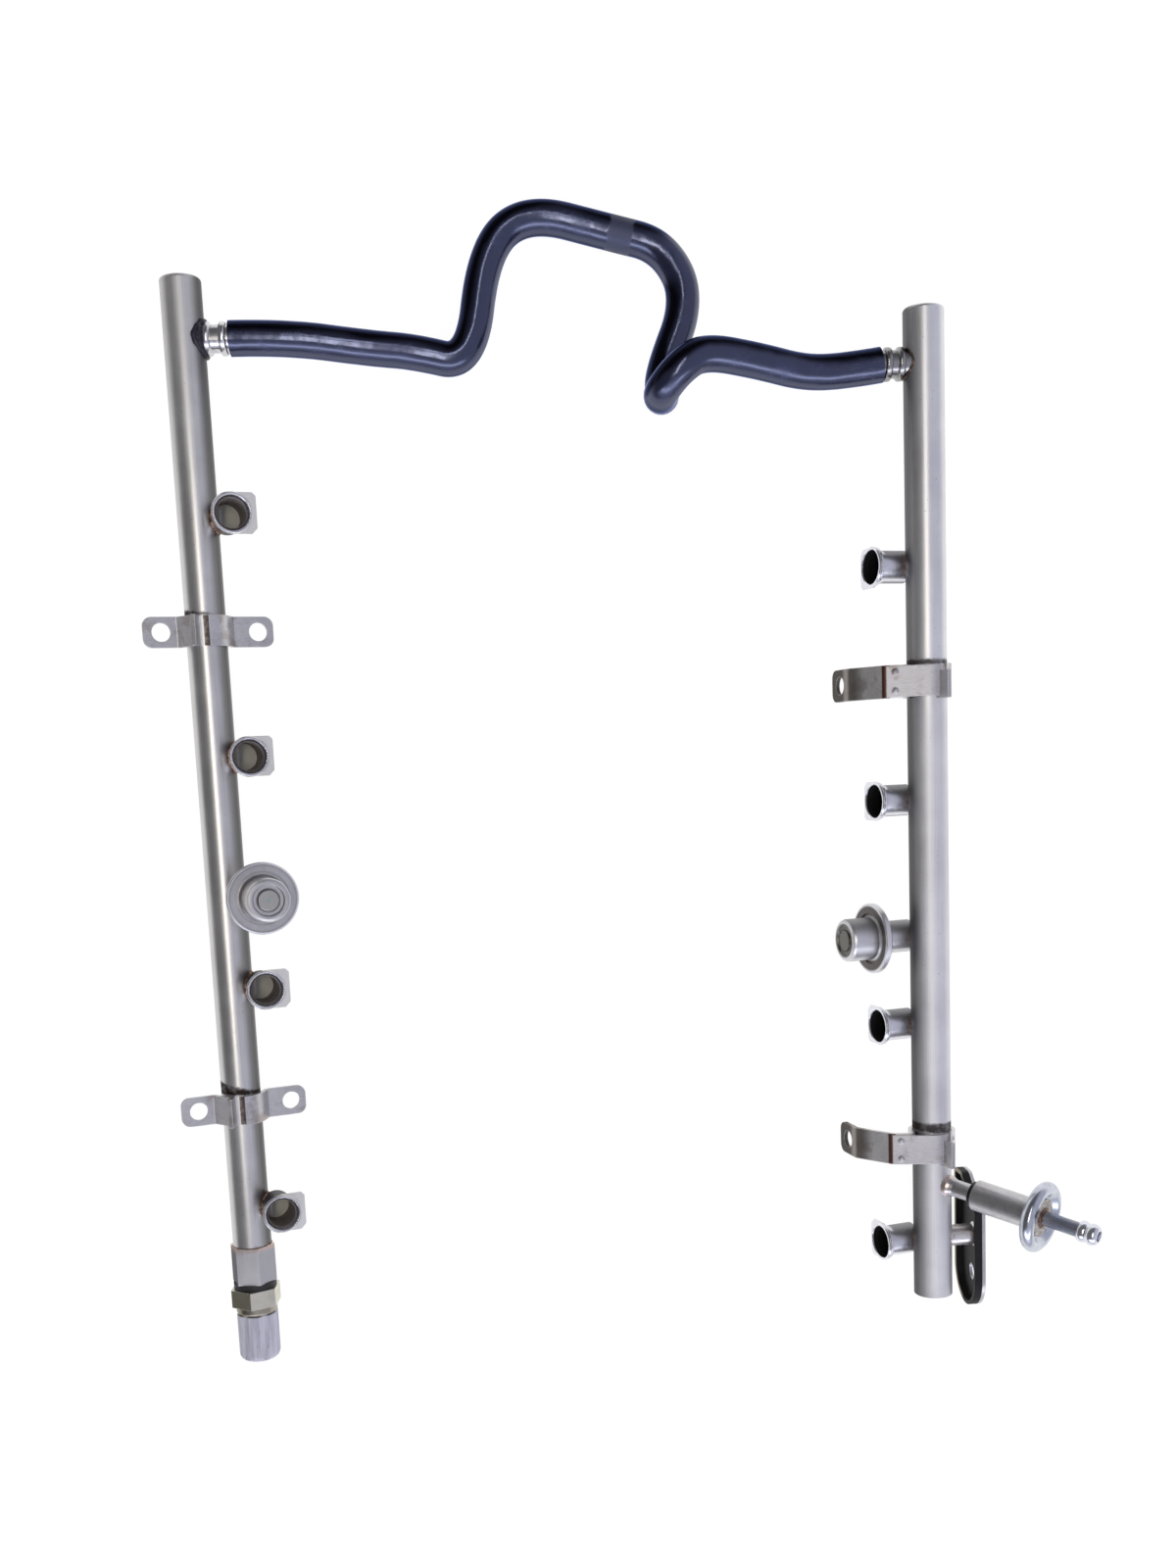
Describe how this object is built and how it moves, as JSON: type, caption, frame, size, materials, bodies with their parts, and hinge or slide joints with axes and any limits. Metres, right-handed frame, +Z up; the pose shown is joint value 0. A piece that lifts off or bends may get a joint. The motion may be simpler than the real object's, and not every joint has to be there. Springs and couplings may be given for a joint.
{
  "type": "fuel rail",
  "caption": "Pair of round steel fuel rails with injector cups, pulsation dampers and bolt brackets, joined by a black moulded crossover hose.",
  "frame": {"origin": "middle of the assembly's footprint without the hose, on the surface it lies on", "axes": "+X from the rail with the thread cap to the rail with the side take-off, +Y along the rails to the crossover hose, +Z up"},
  "size_m": [0.4364, 0.5558, 0.0907],
  "materials": {
    "rail_steel": "satin",
    "plated_steel": "semi-gloss",
    "bright_steel": "gloss",
    "bracket_steel": "satin",
    "spring_steel": "satin",
    "nut_plating": "satin",
    "hose_plastic": "satin",
    "cap_plastic": "satin",
    "seal_rubber": "matte"
  },
  "bodies": {
    "root": {"adapter_seal_ring": "seal_rubber", "crossover_hose": "hose_plastic", "foot_bracket": "bracket_steel", "foot_stub": "bracket_steel", "hex_adapter": "rail_steel", "left_damper_cover": "rail_steel", "left_damper_diaphragm": "spring_steel", "left_damper_shell": "rail_steel", "left_damper_spring": "spring_steel", "left_damper_spring_seat": "spring_steel", "left_end_cap": "rail_steel", "left_hose_spigot": "bright_steel", "left_injector_cup_1": "plated_steel", "left_injector_cup_2": "plated_steel", "left_injector_cup_3": "plated_steel", "left_injector_cup_4": "plated_steel", "left_lower_bracket_inner_strap": "bracket_steel", "left_lower_bracket_outer_strap": "bracket_steel", "left_rail_tube": "rail_steel", "left_upper_bracket_inner_strap": "bracket_steel", "left_upper_bracket_outer_strap": "bracket_steel", "right_damper_cover": "rail_steel", "right_damper_diaphragm": "spring_steel", "right_damper_shell": "rail_steel", "right_damper_spring": "spring_steel", "right_damper_spring_seat": "spring_steel", "right_end_cap": "rail_steel", "right_end_plug": "rail_steel", "right_hose_spigot": "bright_steel", "right_injector_cup_1": "plated_steel", "right_injector_cup_2": "plated_steel", "right_injector_cup_3": "plated_steel", "right_injector_cup_4": "plated_steel", "right_lower_bracket_base_strap": "bracket_steel", "right_lower_bracket_saddle": "bracket_steel", "right_rail_tube": "rail_steel", "right_upper_bracket_base_strap": "bracket_steel", "right_upper_bracket_saddle": "bracket_steel", "takeoff_disc": "bright_steel", "takeoff_end_plate": "rail_steel", "takeoff_nipple": "bright_steel", "takeoff_sleeve": "rail_steel", "takeoff_stem": "rail_steel", "thread_cap": "cap_plastic", "union_nut": "nut_plating"}
  },
  "joints": []
}
